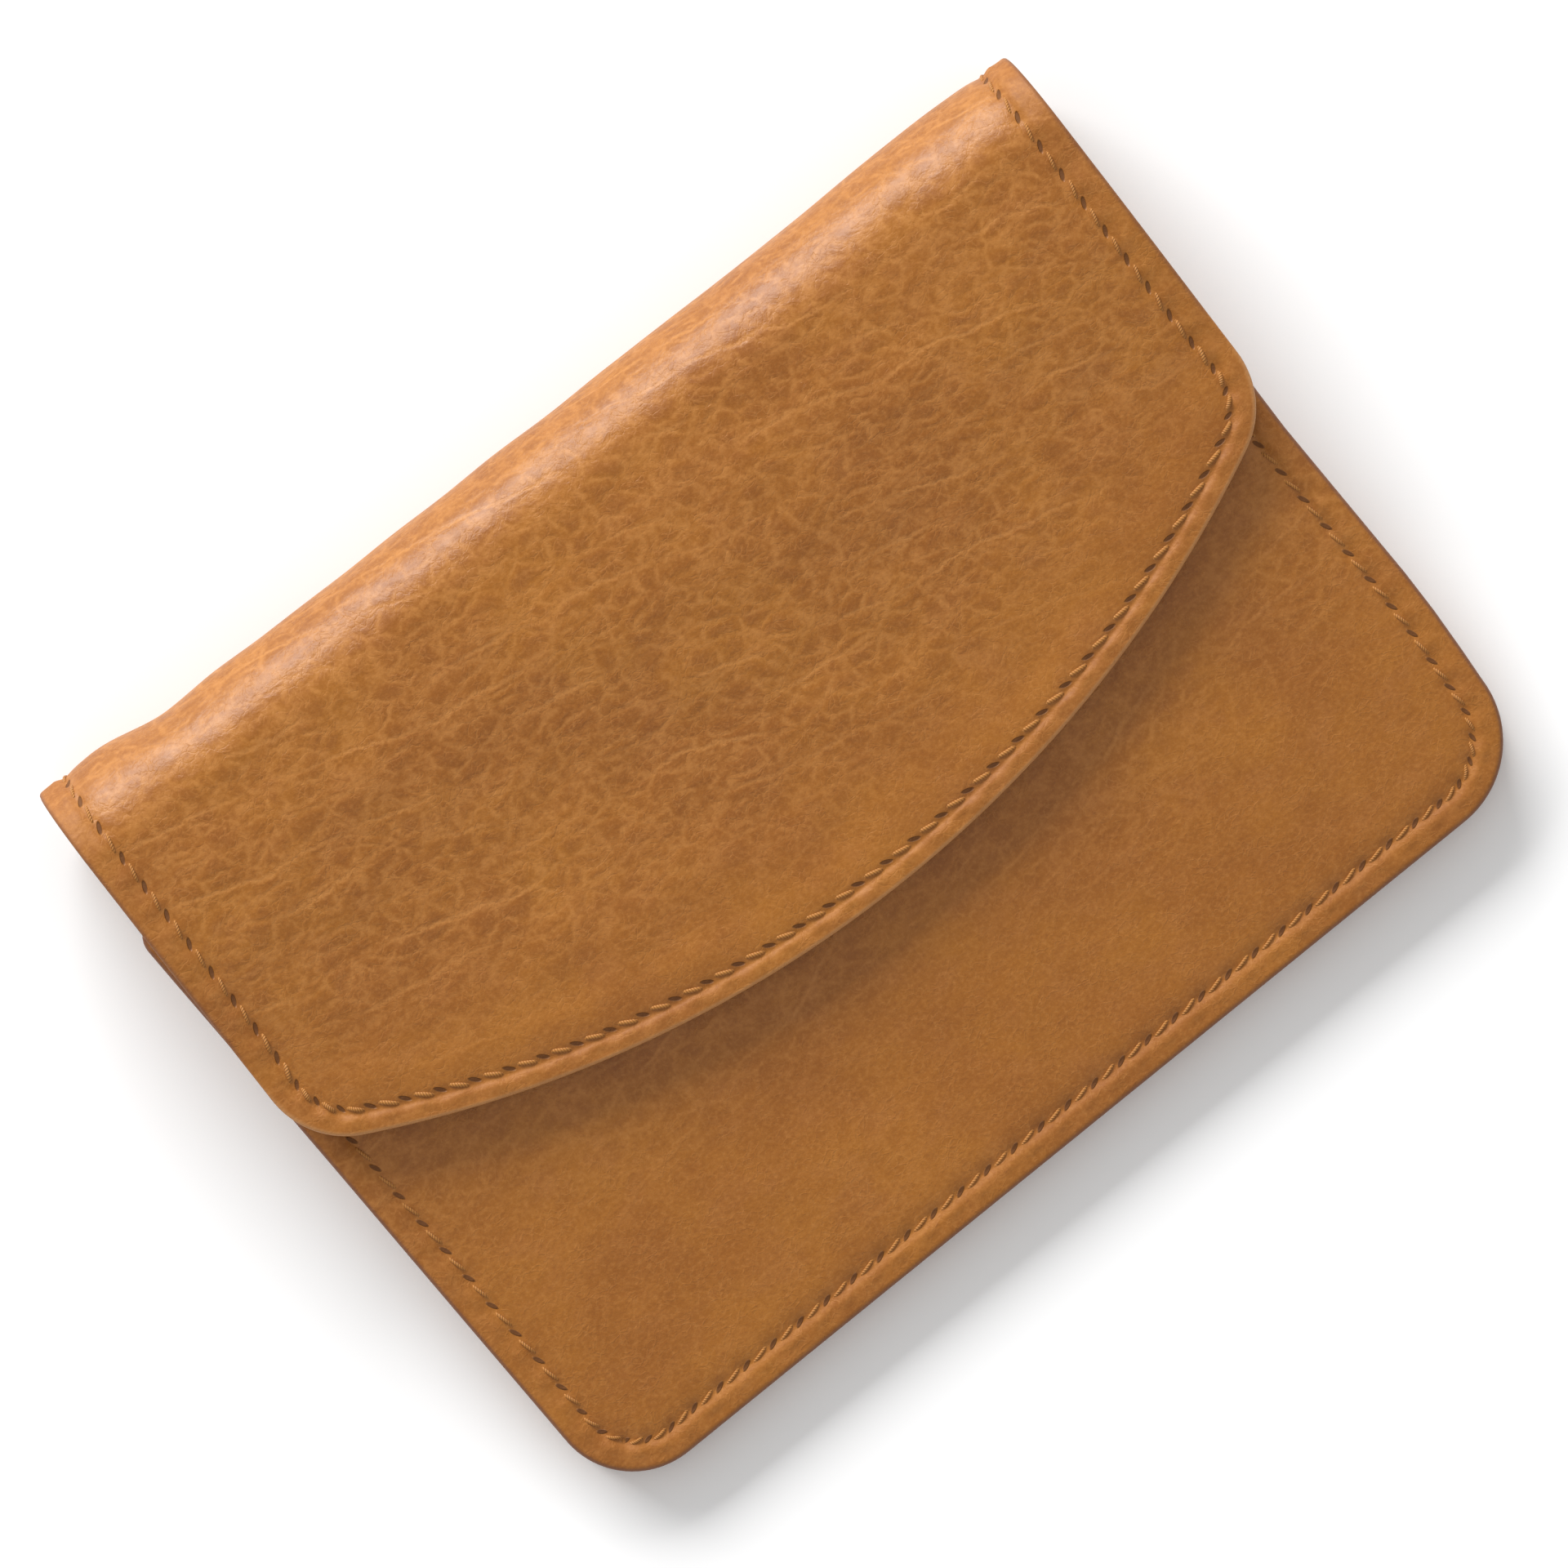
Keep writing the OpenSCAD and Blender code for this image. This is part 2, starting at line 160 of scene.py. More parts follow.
def back_flap_outline(inset=0.0):
    """The whole back, fold and flap, as one flat shape."""
    arc_s = SHEET_END - FLAP_ARC_R
    turns = []
    for half in (FLAP_RIGHT, FLAP_LEFT):
        corner_x = half - FLAP_CORNER_R
        rise = math.sqrt((FLAP_ARC_R - FLAP_CORNER_R) ** 2 - corner_x ** 2)
        turns.append((corner_x, arc_s + rise, math.degrees(math.atan2(rise, corner_x))))
    (rx, rs, rt), (lx, ls, lt) = turns
    right, left = body_sides(FOLD_RUN, inset)
    return np.concatenate([
        bottom_edge(inset),
        right,
        arc_points(rx, rs, FLAP_CORNER_R - inset, 0, rt),
        arc_points(0, arc_s, FLAP_ARC_R - inset, rt, 180 - lt, 60)[1:-1],
        arc_points(-lx, ls, FLAP_CORNER_R - inset, 180 - lt, 180),
        left,
    ])


def front_outline(inset=0.0):
    top_r = 2.2
    right, left = body_sides(MOUTH_V - 6, inset)
    rx, lx = side_right(MOUTH_V), side_left(MOUTH_V)
    return np.concatenate([
        bottom_edge(inset) + [0, FRONT_FOOT_V],
        right,
        arc_points(rx - top_r, MOUTH_V - top_r, top_r - inset, 0, 90),
        arc_points(lx + top_r, MOUTH_V - top_r, top_r - inset, 90, 180),
        left,
    ])


def pocket_outline(foot, mouth, half=45.2, r=5.0, top_r=1.6):
    return np.concatenate([
        arc_points(r - half, foot + r, r, 180, 270),
        arc_points(half - r, foot + r, r, 270, 360),
        arc_points(half - top_r, mouth - top_r, top_r, 0, 90),
        arc_points(top_r - half, mouth - top_r, top_r, 90, 180),
    ])


# ---------------------------------------------------------------- flat meshes
def four_sides(outline, pitch):
    """The closed outline as evenly spaced points, from its lower left corner anticlockwise.

    Opposite sides get the same number of points, a along and b up, so that a grid fits inside.
    """
    loop = np.vstack([outline, outline[:1]])
    run = np.concatenate([[0], np.cumsum(np.linalg.norm(np.diff(loop, axis=0), axis=1))])
    along = lambda at: np.stack([np.interp(at % run[-1], run, loop[:, k]) for k in (0, 1)], 1)
    fine = np.linspace(0, run[-1], 6000, endpoint=False)
    points = along(fine)
    low_x, low_s = points.min(axis=0)
    high_x, high_s = points.max(axis=0)
    corners = []
    for corner in ((low_x, low_s), (high_x, low_s), (high_x, high_s), (low_x, high_s)):
        corners.append(fine[np.argmin(np.abs(points - corner).sum(axis=1))])
    lengths = [(corners[(k + 1) % 4] - corners[k]) % run[-1] for k in range(4)]
    a = round((lengths[0] + lengths[2]) / 2 / pitch)
    b = round((lengths[1] + lengths[3]) / 2 / pitch)
    a += -(a + b) % (PER_STITCH // 2)
    at = [corners[k] + lengths[k] * np.arange(n) / n for k, n in enumerate((a, b, a, b))]
    return along(np.concatenate(at)), a, b


def inward(loop, window):
    """Inward directions of an anticlockwise loop, evened out over a few points each way."""
    ahead, behind = np.roll(loop, -1, 0), np.roll(loop, 1, 0)
    along = ahead - behind
    along /= np.linalg.norm(along, axis=1, keepdims=True)
    normal = np.stack([-along[:, 1], along[:, 0]], 1)
    total = sum(np.roll(normal, k, 0) for k in range(-window, window + 1))
    return total / np.linalg.norm(total, axis=1, keepdims=True)


RING_INSETS = (0, 0.06, 0.18, 0.36, 0.6, 0.95, 1.35, 1.7, 1.95, 2.15, 2.32, 2.48, 2.64, 2.8, 2.98, 3.2,
               3.6, 4.1, 4.5, 5.0)


class Layout:
    """A flat mesh of an outline: rings that follow the edge, and a grid inside the last one."""

    def __init__(self, outline, pitch=STITCH / PER_STITCH, insets=RING_INSETS, window=2):
        loop, a, b = four_sides(outline, pitch)
        count = len(loop)
        direction = inward(loop, window)
        self.loop, self.direction, self.count = loop, direction, count
        self.stitches = count // PER_STITCH
        rings = np.array([loop + direction * inset for inset in insets])
        inner = rings[-1]
        i, j = np.meshgrid(np.arange(a + 1), np.arange(b + 1), indexing="ij")
        border = np.full((a + 1, b + 1), -1)
        border[:, 0] = np.arange(a + 1)
        border[a, :] = a + np.arange(b + 1)
        border[:, b] = a + b + (a - np.arange(a + 1))
        border[0, :] = 2 * a + b + (b - np.arange(b + 1))
        border = np.where(border >= 0, border % count, -1)
        low_side, high_side = inner[border[:, 0]], inner[border[:, b]]
        left_side, right_side = inner[border[0, :]], inner[border[a, :]]
        u, v = (i / a)[..., None], (j / b)[..., None]
        grid = ((1 - v) * low_side[:, None] + v * high_side[:, None]
                + (1 - u) * left_side[None] + u * right_side[None]
                - (1 - u) * (1 - v) * inner[border[0, 0]] - u * (1 - v) * inner[border[a, 0]]
                - u * v * inner[border[a, b]] - (1 - u) * v * inner[border[0, b]])
        for _ in range(60):
            grid[1:-1, 1:-1] = (grid[2:, 1:-1] + grid[:-2, 1:-1] + grid[1:-1, 2:] + grid[1:-1, :-2]) / 4
        last = (len(insets) - 1) * count
        index = np.where(border >= 0, last + border, 0)
        inside = len(insets) * count + np.arange((a - 1) * (b - 1)).reshape(a - 1, b - 1)
        index[1:a, 1:b] = inside
        self.points = np.vstack([rings.reshape(-1, 2), grid[1:a, 1:b].reshape(-1, 2)])
        k, n = np.meshgrid(np.arange(len(insets) - 1), np.arange(count), indexing="ij")
        nxt = (n + 1) % count
        near, far = k * count, (k + 1) * count
        ring_faces = np.stack([near + n, near + nxt, far + nxt, far + n], -1)
        grid_faces = np.stack([index[:-1, :-1], index[1:, :-1], index[1:, 1:], index[:-1, 1:]], -1)
        self.faces = np.vstack([ring_faces.reshape(-1, 4), grid_faces.reshape(-1, 4)])
        interior = (a - 1) * (b - 1)
        self.inset = np.concatenate([np.repeat(insets, count), np.full(interior, INSIDE)])
        self.along = np.concatenate([np.tile(np.arange(count), len(insets)), np.zeros(interior)])
        self.along *= self.stitches / count


def smooth(t):
    t = np.clip(t, 0, 1)
    return t * t * (3 - 2 * t)


def waves(x, y, wavelength, seed, count=7):
    """Smooth, seeded unevenness between about -1 and 1."""
    rng = np.random.default_rng(seed)
    total = np.zeros_like(x)
    for _ in range(count):
        angle, phase = rng.uniform(0, 2 * math.pi, 2)
        k = 2 * math.pi / wavelength * rng.uniform(0.6, 1.5)
        total += np.sin(k * (x * math.cos(angle) + y * math.sin(angle)) + phase)
    return total / math.sqrt(count)


def rolled(inset, r):
    """How far a rounded edge of radius r has dropped at this inset."""
    e = np.clip(inset, 0, r)
    return r - np.sqrt(np.maximum(r * r - (r - e) ** 2, 0))


def seam_dip(inset, along, seam, depth):
    """The valley along a line of sewing, deeper at the needle holes."""
    across = inset - seam
    pull = 0.62 + 0.38 * np.cos(2 * math.pi * along)
    valley = depth * pull * np.exp(-((across / 0.5) ** 2))
    reach = np.where(across < 0, 0.6, 1.5)
    fade = np.clip((RING_INSETS[-1] - inset) / 1.4, 0, 1)
    wide = 0.45 * depth * np.exp(-((across / reach) ** 2)) * fade
    return valley + wide


def scallops(inset, along):
    """The border outside the seam, which puffs up between the needle holes."""
    between = 0.5 - 0.5 * np.cos(2 * math.pi * along)
    return np.exp(-(((inset - 1.75) / 0.42) ** 2)) * 0.14 * between ** 1.5


def pucker(x, s, inset, seed):
    """Uneven waves along the border outside the seam."""
    return np.exp(-(((inset - 1.1) / 0.6) ** 2)) * waves(x, s, 4.5, seed)


def cosine_bell(x, centre, width):
    t = np.clip(np.abs(x - centre) / width, 0, 1)
    return 0.5 + 0.5 * np.cos(math.pi * t)


# ---------------------------------------------------------------- paths in 3-D
def lay_on_path(x, s, depth):
    """The back, fold and flap: depth is measured inwards from the leather's outer face."""
    theta = np.clip((s - FOLD_RUN) / NEUTRAL_R, 0, FOLD_TURN)
    extra = np.where(s < FOLD_RUN, s - FOLD_RUN, np.where(s > FLAP_START, s - FLAP_START, 0))
    r = FOLD_R - depth
    r = r + flap_bow(s) + tip_lift(x, s)
    y = FOLD_Y + r * np.sin(theta) + extra * np.cos(theta)
    z = FOLD_R - r * np.cos(theta) + extra * np.sin(theta)
    return np.stack([x, y + fold_set(x, theta), z], 1)


def flap_bow(s):
    """The flap leaves the fold in a shallow bow before it settles on the front."""
    rise = smooth((s - FLAP_START + 6) / 16)
    fall = smooth((s - FLAP_START - 8) / 17)
    return 0.6 * rise * (1 - fall)


def tip_lift(x, s):
    """The flap's free edge lifts a little off the front."""
    from_edge = SHEET_END - s - x * x / (2 * FLAP_ARC_R)
    return 0.4 * smooth(1 - from_edge / 8)


def fold_set(x, theta):
    """The fold isn't straight: it stands out at its sewn left end and draws in beside it."""
    bulge = np.sin(np.clip(theta, 0, math.pi)) ** 2
    left_end = 0.85 * smooth((-38.5 - x) / 8) - 0.28 * cosine_bell(x, -39, 7)
    right = 0.45 * cosine_bell(x, 40, 26)
    return bulge * (-0.85 + left_end + right)


def lay_on_front(x, v, height):
    """The sloping front: height is measured up from the front lining's underside."""
    y = -HEIGHT / 2 + v * math.cos(SLOPE) - height * math.sin(SLOPE)
    z = BACK_STACK + v * math.sin(SLOPE) + height * math.cos(SLOPE)
    return np.stack([x, y, z], 1)


def lay_on_back(x, y, height):
    return np.stack([x, y - HEIGHT / 2, height], 1)


# ---------------------------------------------------------------- meshes
def new_object(name, mesh, material):
    piece = bpy.data.objects.new(name, mesh)
    bpy.context.scene.collection.objects.link(piece)
    mesh.materials.append(material)
    return piece


def add_attribute(mesh, name, kind, values):
    attribute = mesh.attributes.new(name, kind, "POINT")
    key = "vector" if kind == "FLOAT_VECTOR" else "value"
    attribute.data.foreach_set(key, np.ascontiguousarray(values, np.float32).ravel())


def no_grain(x, s, inset):
    return np.zeros_like(x)


def slab(layout, upper, lower, look, rim=no_grain, sewn=lambda s, inset: inset):
    """Flat bmesh of a closed sheet. upper and lower give the depth of its two faces.

    look is how strongly the grain shows. rim is above 0 on a pale cut edge and below 0 on a dark one.
    sewn is the inset kept for the material, which paints its needle slits dark, as painted shade in the
    holes, at SIDE_SEAM.
    """
    x, s = layout.points.T
    n = len(x)
    top = np.stack([x, s, upper(x, s, layout.inset, layout.along)], 1)
    under = np.stack([x, s, lower(x, s, layout.inset)], 1)
    count = layout.count
    i = np.arange(count)
    wall = np.stack([i, i + n, (i + 1) % count + n, (i + 1) % count], 1)
    faces = np.vstack([layout.faces, layout.faces[:, ::-1] + n, wall])
    mesh = bpy.data.meshes.new("flat")
    mesh.from_pydata(np.vstack([top, under]).tolist(), [], faces.tolist())
    double = lambda values: np.concatenate([values, values])
    add_attribute(mesh, "flat", "FLOAT_VECTOR", np.stack([double(x), double(s), np.zeros(2 * n)], 1))
    kept_inset = sewn(s, layout.inset)
    seam = np.stack([double(layout.along), double(kept_inset), double(look(x, s, layout.inset))], 1)
    add_attribute(mesh, "seam", "FLOAT_VECTOR", seam)
    edge = double(rim(x, s, layout.inset))
    add_attribute(mesh, "rim", "FLOAT_VECTOR", np.stack([edge, 0 * edge, 0 * edge], 1))
    bm = bmesh.new()
    bm.from_mesh(mesh)
    bpy.data.meshes.remove(mesh)
    bmesh.ops.recalc_face_normals(bm, faces=bm.faces)
    return bm


def lay(bm, place):
    """Moves a flat bmesh onto its path, and turns its faces outwards."""
    co = np.array([v.co for v in bm.verts])
    laid = place(*co.T) * MM
    for vert, position in zip(bm.verts, laid):
        vert.co = position
    bmesh.ops.recalc_face_normals(bm, faces=bm.faces)
    return bm


def finish_mesh(bm, name, material):
    mesh = bpy.data.meshes.new(name)
    bm.to_mesh(mesh)
    bm.free()
    mesh.shade_smooth()
    return new_object(name, mesh, material)


def split_sheet(bm, cuts, place, names, material):
    """Cuts a flat sheet at the given heights, lays it on its path and gives one closed piece each.

    The pieces share their points and normals along each cut, so that no line shows there.
    """
    for cut in cuts:
        everything = bm.verts[:] + bm.edges[:] + bm.faces[:]
        bmesh.ops.bisect_plane(bm, geom=everything, plane_co=(0, cut, 0), plane_no=(0, 1, 0), dist=1e-4)
    bm.verts.index_update()
    flat = np.array([v.co for v in bm.verts])
    lay(bm, place)
    bm.normal_update()
    normals = [tuple(v.normal) for v in bm.verts]
    keep = bm.verts.layers.int.new("source")
    for vert in bm.verts:
        vert[keep] = vert.index
    group = [np.searchsorted(cuts, np.mean([flat[v.index, 1] for v in f.verts])) for f in bm.faces]
    pieces = []
    for k, name in enumerate(names):
        part = bm.copy()
        part.faces.ensure_lookup_table()
        bmesh.ops.delete(part, geom=[f for f, g in zip(part.faces, group) if g != k], context="FACES")
        layer = part.verts.layers.int["source"]
        rim = {v for e in part.edges if e.is_boundary for v in e.verts}
        caps = []
        for cut in cuts:
            line = [v for v in rim if abs(flat[v[layer], 1] - cut) < 1e-3]
            line.sort(key=lambda v: (round(flat[v[layer], 0], 3), flat[v[layer], 2]))
            for a, b, c, d in zip(line[0::2], line[1::2], line[3::2], line[2::2]):
                caps.append(part.faces.new((a, b, c, d)))
        bmesh.ops.recalc_face_normals(part, faces=part.faces)
        part.faces.index_update()
        part.normal_update()
        capped = {f.index for f in caps}
        loops = []
        for face in part.faces:
            own = tuple(face.normal)
            loops += [own if face.index in capped else normals[v[layer]] for v in face.verts]
        mesh = bpy.data.meshes.new(name)
        part.to_mesh(mesh)
        part.free()
        mesh.shade_smooth()
        mesh.attributes.remove(mesh.attributes["source"])
        mesh.normals_split_custom_set(loops)
        pieces.append(new_object(name, mesh, material))
    bm.free()
    return pieces


def thread_radius(s):
    """The thread swells a little where it is pulled tight round the flap's curve."""
    return 0.15 + 0.06 * smooth((s - (SHEET_END - 28)) / 10)


def tube(path, radius):
    """Points and faces of a closed tube along path, a little flattened, with rounded ends."""
    count, sides, flat = len(path), THREAD_SIDES, 0.85
    along = np.gradient(path, axis=0)
    along /= np.linalg.norm(along, axis=1, keepdims=True)
    side = np.cross(along, [0, 0, 1.0])
    side /= np.linalg.norm(side, axis=1, keepdims=True)
    up = np.cross(side, along)
    a = 2 * math.pi * np.arange(sides) / sides
    taper = np.sqrt(np.clip(1 - (np.linspace(-1, 1, count) ** 8), 0.15, 1))
    ring = (path[:, None] + radius * taper[:, None, None]
            * (np.cos(a)[None, :, None] * side[:, None] + flat * np.sin(a)[None, :, None] * up[:, None]))
    faces = []
    for k in range(count - 1):
        for j in range(sides):
            n = (j + 1) % sides
            faces.append([k * sides + j, k * sides + n, (k + 1) * sides + n, (k + 1) * sides + j])
    faces.append(list(range(sides))[::-1])
    faces.append([(count - 1) * sides + j for j in range(sides)])
    return ring.reshape(-1, 3), faces


def stitch_row(line, count, sink, seed, slant=0.3, proud=0.08):
    """The flat points and depths of each stitch in a row of slanted stitches.

    line gives flat points for stitch numbers, and sink is the seam's depth. The thread leaves a hole,
    rises over the leather and goes down again.
    """
    rng = np.random.default_rng(seed)
    rows = []
    t = np.linspace(0, 1, THREAD_STEPS + 1)
    for number in range(count):
        at = number + 0.14 + 0.72 * t
        centre = line(at)
        along = np.gradient(centre, axis=0)
        along /= np.linalg.norm(along, axis=1, keepdims=True)
        normal = np.stack([-along[:, 1], along[:, 0]], 1)
        lean = slant * (1 + 0.2 * rng.uniform(-1, 1))
        flat = centre + normal * (lean * (2 * t - 1))[:, None]
        depth = sink + 0.45 - (0.45 + proud) * np.sin(math.pi * t) ** 0.55
        rows.append((flat, depth))
    return rows


def thread_mesh(name, rows, place, keep):
    points, faces, twist = [], [], []
    for flat, depth in rows:
        if not keep(flat[:, 1].mean()):
            continue
        path = place(flat[:, 0], flat[:, 1], depth)
        ring, quads = tube(path, thread_radius(flat[:, 1].mean()))
        faces += [[base + len(points) for base in quad] for quad in quads]
        for j in range(len(ring)):
            around, step = j % THREAD_SIDES, j // THREAD_SIDES
            twist.append([around / THREAD_SIDES, step * STITCH / THREAD_STEPS, 0])
        points += (ring * MM).tolist()
    mesh = bpy.data.meshes.new(name)
    mesh.from_pydata(points, [], faces)
    add_attribute(mesh, "twist", "FLOAT_VECTOR", np.array(twist))
    mesh.shade_smooth()
    bm = bmesh.new()
    bm.from_mesh(mesh)
    bmesh.ops.recalc_face_normals(bm, faces=bm.faces)
    bm.to_mesh(mesh)
    bm.free()
    return new_object(name, mesh, THREAD_LOOK)


# ---------------------------------------------------------------- materials
class Nodes:
    """Short names for building one material's nodes."""

    def __init__(self, name):
        self.material = bpy.data.materials.new(name)
        self.material.use_nodes = True
        self.tree = self.material.node_tree
        self.shader = self.tree.nodes["Principled BSDF"]

    def add(self, kind, **settings):
        node = self.tree.nodes.new(kind)
        for key, value in settings.items():
            setattr(node, key, value)
        return node

    def link(self, source, target):
        self.tree.links.new(source, target)

    def put(self, value, socket):
        if isinstance(value, (int, float, tuple)):
            socket.default_value = value
        else:
            self.link(value, socket)

    def math(self, operation, a, b=0.0, c=0.0):
        node = self.add("ShaderNodeMath", operation=operation)
        for value, socket in zip((a, b, c), node.inputs):
            self.put(value, socket)
        return node.outputs[0]

    def attribute(self, name):
        return self.add("ShaderNodeAttribute", attribute_name=name).outputs["Vector"]

    def parts(self, vector):
        node = self.add("ShaderNodeSeparateXYZ")
        self.link(vector, node.inputs[0])
        return node.outputs

    def stretched(self, vector, stretch=(1, 1, 1), turn=0.0, shift=(0, 0, 0)):
        """Coordinates whose textures come out longer by stretch along an axis turned in the sheet."""
        node = self.add("ShaderNodeMapping", vector_type="TEXTURE")
        self.link(vector, node.inputs["Vector"])
        node.inputs["Scale"].default_value = stretch
        node.inputs["Rotation"].default_value = (0, 0, math.radians(turn))
        node.inputs["Location"].default_value = shift
        return node.outputs[0]

    def noise(self, vector, scale, detail=3.0, rough=0.55):
        node = self.add("ShaderNodeTexNoise")
        self.link(vector, node.inputs["Vector"])
        node.inputs["Scale"].default_value = scale
        node.inputs["Detail"].default_value = detail
        node.inputs["Roughness"].default_value = rough
        return node.outputs["Fac"]

    def noise_vector(self, vector, scale, amount):
        """vector, pushed about by a smooth noise."""
        node = self.add("ShaderNodeTexNoise")
        self.link(vector, node.inputs["Vector"])
        node.inputs["Scale"].default_value = scale
        node.inputs["Detail"].default_value = 2.0
        centred = self.add("ShaderNodeVectorMath", operation="SUBTRACT")
        self.link(node.outputs["Color"], centred.inputs[0])
        centred.inputs[1].default_value = (0.5, 0.5, 0.5)
        scaled = self.add("ShaderNodeVectorMath", operation="SCALE")
        self.link(centred.outputs[0], scaled.inputs[0])
        scaled.inputs["Scale"].default_value = amount
        total = self.add("ShaderNodeVectorMath", operation="ADD")
        self.link(vector, total.inputs[0])
        self.link(scaled.outputs[0], total.inputs[1])
        return total.outputs[0]

    def cells(self, vector, scale):
        """How far each point lies from the edge of its cell."""
        node = self.add("ShaderNodeTexVoronoi", feature="DISTANCE_TO_EDGE")
        self.link(vector, node.inputs["Vector"])
        node.inputs["Scale"].default_value = scale
        return node.outputs["Distance"]

    def ramp(self, value, low, high):
        """0 at low and 1 at high, with a smooth step between them."""
        node = self.add("ShaderNodeMapRange", interpolation_type="SMOOTHSTEP")
        self.link(value, node.inputs["Value"])
        node.inputs["From Min"].default_value = low
        node.inputs["From Max"].default_value = high
        return node.outputs["Result"]

    def times(self, a, b):
        return self.math("MULTIPLY", a, b)

    def plus(self, a, b):
        return self.math("ADD", a, b)

    def most(self, a, b):
        return self.math("MAXIMUM", a, b)

    def line(self, value, low, high):
        """1 at low and 0 at high: the other way round from ramp."""
        return self.math("SUBTRACT", 1.0, self.ramp(value, low, high))

    def scaled(self, value, slope, base):
        return self.math("MULTIPLY_ADD", value, slope, base)

    def mix(self, factor, a, b):
        node = self.add("ShaderNodeMix", data_type="RGBA")
        self.put(factor, node.inputs[0])
        self.put(a, node.inputs[6])
        self.put(b, node.inputs[7])
        return node.outputs[2]

    def bump(self, height, distance, strength=1.0):
        node = self.add("ShaderNodeBump")
        node.inputs["Strength"].default_value = strength
        node.inputs["Distance"].default_value = distance * MM
        self.link(height, node.inputs["Height"])
        return node.outputs[0]

    def finish(self, colour, roughness, normal=None, specular=0.5, sheen=0.0):
        self.put(colour, self.shader.inputs["Base Color"])
        self.put(roughness, self.shader.inputs["Roughness"])
        self.shader.inputs["Specular IOR Level"].default_value = specular
        self.shader.inputs["Sheen Weight"].default_value = sheen
        if normal is not None:
            self.link(normal, self.shader.inputs["Normal"])
        return self.material


GRAIN_TURN = 12                       # degrees by which the grain runs down to the right


def vein_lines(n, vector, turn, spacing):
    """Thin lines, 1 on the line, turned in the sheet, which come and go along their length."""
    across = n.parts(n.stretched(vector, (1, 1, 1), turn))[1]
    line = n.line(n.math("PINGPONG", across, spacing / 2), 0.0, 0.38)
    patch = n.noise(n.stretched(vector, (3.0, 1.0, 1.0), turn, (spacing, 0, 0)), 0.24, 2.0)
    return n.times(line, n.ramp(patch, 0.4, 0.62))


def outer_leather():
    n = Nodes("outer_leather")
    flat = n.attribute("flat")
    seam_u, inset, pebble = n.parts(n.attribute("seam"))
    rim = n.parts(n.attribute("rim"))[0]

    # Pebbles with a pale net between them, fine creases, and long pale veins.
    wander = n.noise_vector(n.noise_vector(n.noise_vector(flat, 0.3, 2.2), 1.5, 0.55), 4.0, 0.2)
    edge = n.cells(n.stretched(wander, (1.35, 0.85, 1.0), GRAIN_TURN), 0.5)
    network = n.times(n.line(edge, 0.0, 0.2), n.ramp(n.noise(flat, 0.7, 3.0, 0.6), 0.32, 0.62))
    creases = n.line(n.cells(wander, 1.3), 0.0, 0.14)
    creases = n.times(creases, n.ramp(n.noise(flat, 0.5, 3.0, 0.6), 0.38, 0.62))
    patches = n.scaled(n.ramp(n.noise(flat, 0.3, 3.0, 0.6), 0.3, 0.66), 0.6, 0.4)
    spot = n.times(n.ramp(edge, 0.02, 0.4), patches)
    fine = n.noise(flat, 2.4, 4.0, 0.65)
    crooked = n.noise_vector(n.noise_vector(n.noise_vector(flat, 0.09, 4.5), 0.7, 0.8), 3.0, 0.35)
    along_grain = vein_lines(n, crooked, GRAIN_TURN + 1, 3.4)
    over_grain = vein_lines(n, crooked, 3 - GRAIN_TURN, 5.3)
    vein = n.most(along_grain, n.times(over_grain, 0.6))
    vein = n.times(vein, n.ramp(n.noise(flat, 1.5, 4.0, 0.7), 0.26, 0.52))
    clouds = n.noise(flat, 0.07, 4.0, 0.6)
    blotch = n.noise(n.stretched(flat, (1.4, 1.0, 1.0), 0, (31, 17, 0)), 0.28, 3.0, 0.6)

    deep = (0.278, 0.085, 0.001, 1)
    tan = (0.336, 0.113, 0.003, 1)
    pale = (0.560, 0.240, 0.056, 1)
    rosy = (0.330, 0.112, 0.014, 1)
    dark = (0.225, 0.064, 0.001, 1)
    colour = n.mix(n.ramp(clouds, 0.35, 0.68), deep, tan)
    colour = n.mix(n.times(n.ramp(blotch, 0.45, 0.75), 0.5), colour, rosy)
    colour = n.mix(n.times(spot, n.scaled(pebble, 0.42, 0.1)), colour, dark)
    net_share = n.times(network, n.scaled(pebble, 0.34, 0.03))
    vein_share = n.times(vein, n.scaled(pebble, 0.52, 0.0))
    crease_share = n.times(creases, n.scaled(pebble, 0.1, 0.1))
    colour = n.mix(n.most(net_share, n.most(vein_share, crease_share)), colour, pale)
    colour = n.mix(n.times(n.ramp(fine, 0.45, 0.72), 0.22), colour, pale)
    colour = n.mix(n.times(n.ramp(fine, 0.47, 0.28), 0.42), colour, dark)

    # The cut edges, pale on the flap and dark on the body, and the needle slits, which are painted dark as
    # painted shade inside the holes.
    colour = n.mix(n.times(n.ramp(rim, 0.0, 1.0), 0.5), colour, (0.58, 0.29, 0.11, 1))
    dark_rim = n.ramp(n.times(rim, -1.0), 0.0, 1.0)
    colour = n.mix(n.times(dark_rim, 0.75), colour, (0.14, 0.048, 0.022, 1))
    holes = needle_holes(n, seam_u, inset)
    colour = n.mix(n.times(holes, 0.8), colour, (0.09, 0.029, 0.006, 1))

    dome = n.times(n.ramp(edge, 0.0, 0.45), n.scaled(pebble, 0.8, 0.08))
    height = n.plus(dome, n.times(fine, 1.1))
    height = n.plus(height, n.times(creases, -0.4))
    height = n.plus(height, n.times(vein, n.scaled(pebble, -0.35, -0.1)))
    height = n.plus(height, n.times(holes, -3.5))
    margin = n.ramp(inset, 2.9, 2.3)
    roughness = n.scaled(n.noise(flat, 0.5, 3.0), 0.2, 0.35)
    roughness = n.plus(roughness, n.times(n.most(holes, n.times(margin, 0.4)), 0.4))
    return n.finish(colour, roughness, n.bump(height, 0.06, 0.6))


